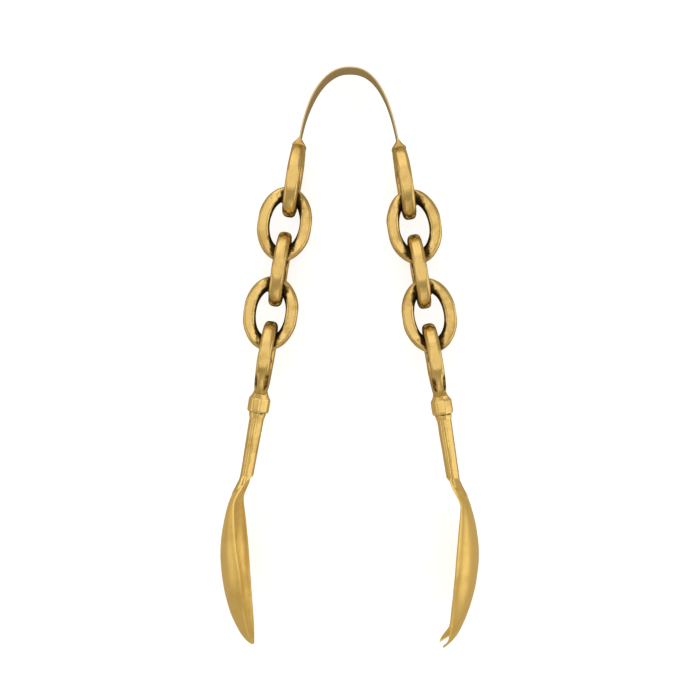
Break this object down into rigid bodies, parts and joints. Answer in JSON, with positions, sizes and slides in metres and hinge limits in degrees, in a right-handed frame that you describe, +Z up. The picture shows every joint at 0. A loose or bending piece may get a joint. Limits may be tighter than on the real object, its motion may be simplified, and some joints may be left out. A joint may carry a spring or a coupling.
{
  "type": "serving tongs",
  "caption": "Serving tongs: a springy strip bow carries arms of brazed oval links, one ending in a spoon bowl and the other in a bowl notched into tines.",
  "frame": {"origin": "on the table under the middle of the tongs, which lie on their side", "axes": "+Y from the bowls to the crown of the bow, +X from the spoon arm to the fork arm, +Z up from the table"},
  "size_m": [0.1236, 0.2766, 0.0424],
  "materials": {
    "aged_brass": "satin with dark patina in the hollows",
    "bowl_brass": "smoother satin",
    "bow_brass": "dull satin, browned",
    "solder": "rough, pinkish"
  },
  "bodies": {
    "bow": {"spring_bow": "bow_brass"},
    "spoon_arm": {"spoon_bow_solder": "solder", "spoon_top_link": "aged_brass", "spoon_upper_link": "aged_brass", "spoon_middle_link": "aged_brass", "spoon_lower_link": "aged_brass", "spoon_end_link": "aged_brass", "spoon_ferrule": "aged_brass", "spoon_shank": "aged_brass", "spoon_bowl": "bowl_brass"},
    "fork_arm": {"fork_bow_solder": "solder", "fork_top_link": "aged_brass", "fork_upper_link": "aged_brass", "fork_middle_link": "aged_brass", "fork_lower_link": "aged_brass", "fork_end_link": "aged_brass", "fork_ferrule": "aged_brass", "fork_shank": "aged_brass", "fork_bowl": "bowl_brass"}
  },
  "joints": [
    {"name": "spoon_arm_flex", "type": "hinge", "parent": "bow", "child": "spoon_arm", "pos_m": [-0.01576, 0.1234, 0.01121], "axis": [0, 0.0456, 0.999], "range_deg": [-4, 9.9], "stiffness_Nm_per_rad": 1.2, "deforming": ["spring_bow"]},
    {"name": "fork_arm_flex", "type": "hinge", "parent": "bow", "child": "fork_arm", "pos_m": [0.01477, 0.12301, 0.01123], "axis": [0, -0.0456, -0.999], "range_deg": [-4, 9.9], "stiffness_Nm_per_rad": 1.2, "deforming": ["spring_bow"]}
  ],
  "couplings": [
    {"joint": "fork_arm_flex", "follows": "spoon_arm_flex", "ratio": 1}
  ]
}
